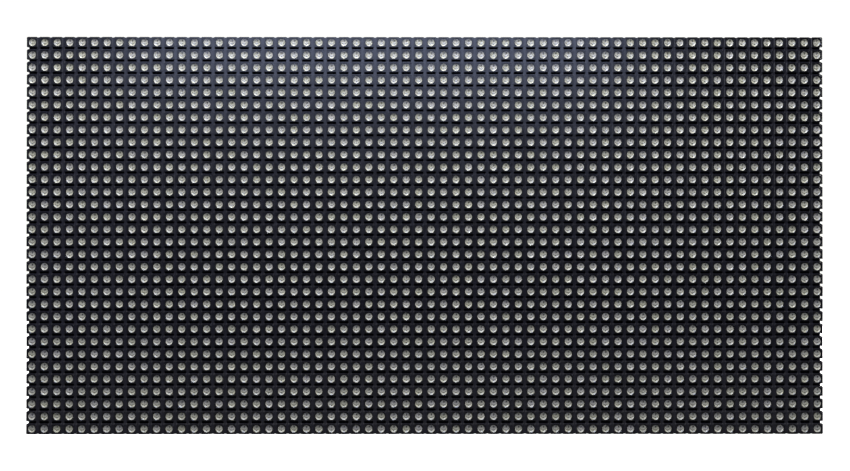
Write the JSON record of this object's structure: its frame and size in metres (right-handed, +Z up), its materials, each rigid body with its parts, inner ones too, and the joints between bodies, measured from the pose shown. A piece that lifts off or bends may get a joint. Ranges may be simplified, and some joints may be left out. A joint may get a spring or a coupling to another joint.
{
  "type": "rgb led matrix panel",
  "caption": "Full-colour LED matrix display panel with a black grid mask, a circuit board and a mounting frame with windows for its headers.",
  "frame": {"origin": "middle of the panel's width and thickness, on its lower edge", "axes": "+X to the right seen from the LED side, +Y from the LED side to the mounting side, +Z up"},
  "size_m": [0.1916, 0.0144, 0.0956],
  "materials": {
    "mask_plastic": "moulded black polycarbonate, fine satin",
    "board_laminate": "glass-epoxy laminate with black solder mask",
    "case_plastic": "moulded glass-filled plastic, fine texture",
    "insert_brass": "turned brass",
    "screw_steel": "zinc-plated steel",
    "spacer_tinned": "tinned brass",
    "header_plastic": "moulded black nylon",
    "pin_gilt": "gold-flashed brass pins",
    "power_plastic": "moulded natural nylon",
    "pin_tinned": "tinned brass pins",
    "chip_epoxy": "moulded black epoxy",
    "lead_tinned": "tin-plated copper alloy leads",
    "can_aluminium": "drawn aluminium",
    "capacitor_base_plastic": "moulded black plastic",
    "capacitor_ceramic": "fired ceramic with tinned ends",
    "resistor_glaze": "black glaze with tinned ends",
    "led_body_plastic": "moulded black reflector body",
    "led_lens_resin": "pale diffusing resin over the chips"
  },
  "bodies": {
    "root": {"front_mask": "mask_plastic", "circuit_board": "board_laminate", "rear_case": "case_plastic", "mounting_inserts": "insert_brass", "case_screws": "screw_steel", "board_spacers": "spacer_tinned", "data_in_shroud": "header_plastic", "data_in_pins": "pin_gilt", "data_out_shroud": "header_plastic", "data_out_pins": "pin_gilt", "power_header_body": "power_plastic", "power_header_pins": "pin_tinned", "column_driver_bodies": "chip_epoxy", "column_driver_leads_lower": "lead_tinned", "column_driver_leads_upper": "lead_tinned", "row_switch_bodies": "chip_epoxy", "row_switch_leads": "lead_tinned", "row_decoder_bodies": "chip_epoxy", "row_decoder_leads": "lead_tinned", "signal_buffer_bodies": "chip_epoxy", "signal_buffer_leads": "lead_tinned", "capacitor_cans": "can_aluminium", "capacitor_bases": "capacitor_base_plastic", "ceramic_capacitors": "capacitor_ceramic", "current_set_resistors": "resistor_glaze", "resistor_arrays": "resistor_glaze", "led_bodies_1_1": "led_body_plastic", "led_lenses_1_1": "led_lens_resin", "led_bodies_1_2": "led_body_plastic", "led_lenses_1_2": "led_lens_resin", "led_bodies_1_3": "led_body_plastic", "led_lenses_1_3": "led_lens_resin", "led_bodies_1_4": "led_body_plastic", "led_lenses_1_4": "led_lens_resin", "led_bodies_2_1": "led_body_plastic", "led_lenses_2_1": "led_lens_resin", "led_bodies_2_2": "led_body_plastic", "led_lenses_2_2": "led_lens_resin", "led_bodies_2_3": "led_body_plastic", "led_lenses_2_3": "led_lens_resin", "led_bodies_2_4": "led_body_plastic", "led_lenses_2_4": "led_lens_resin"}
  },
  "joints": []
}
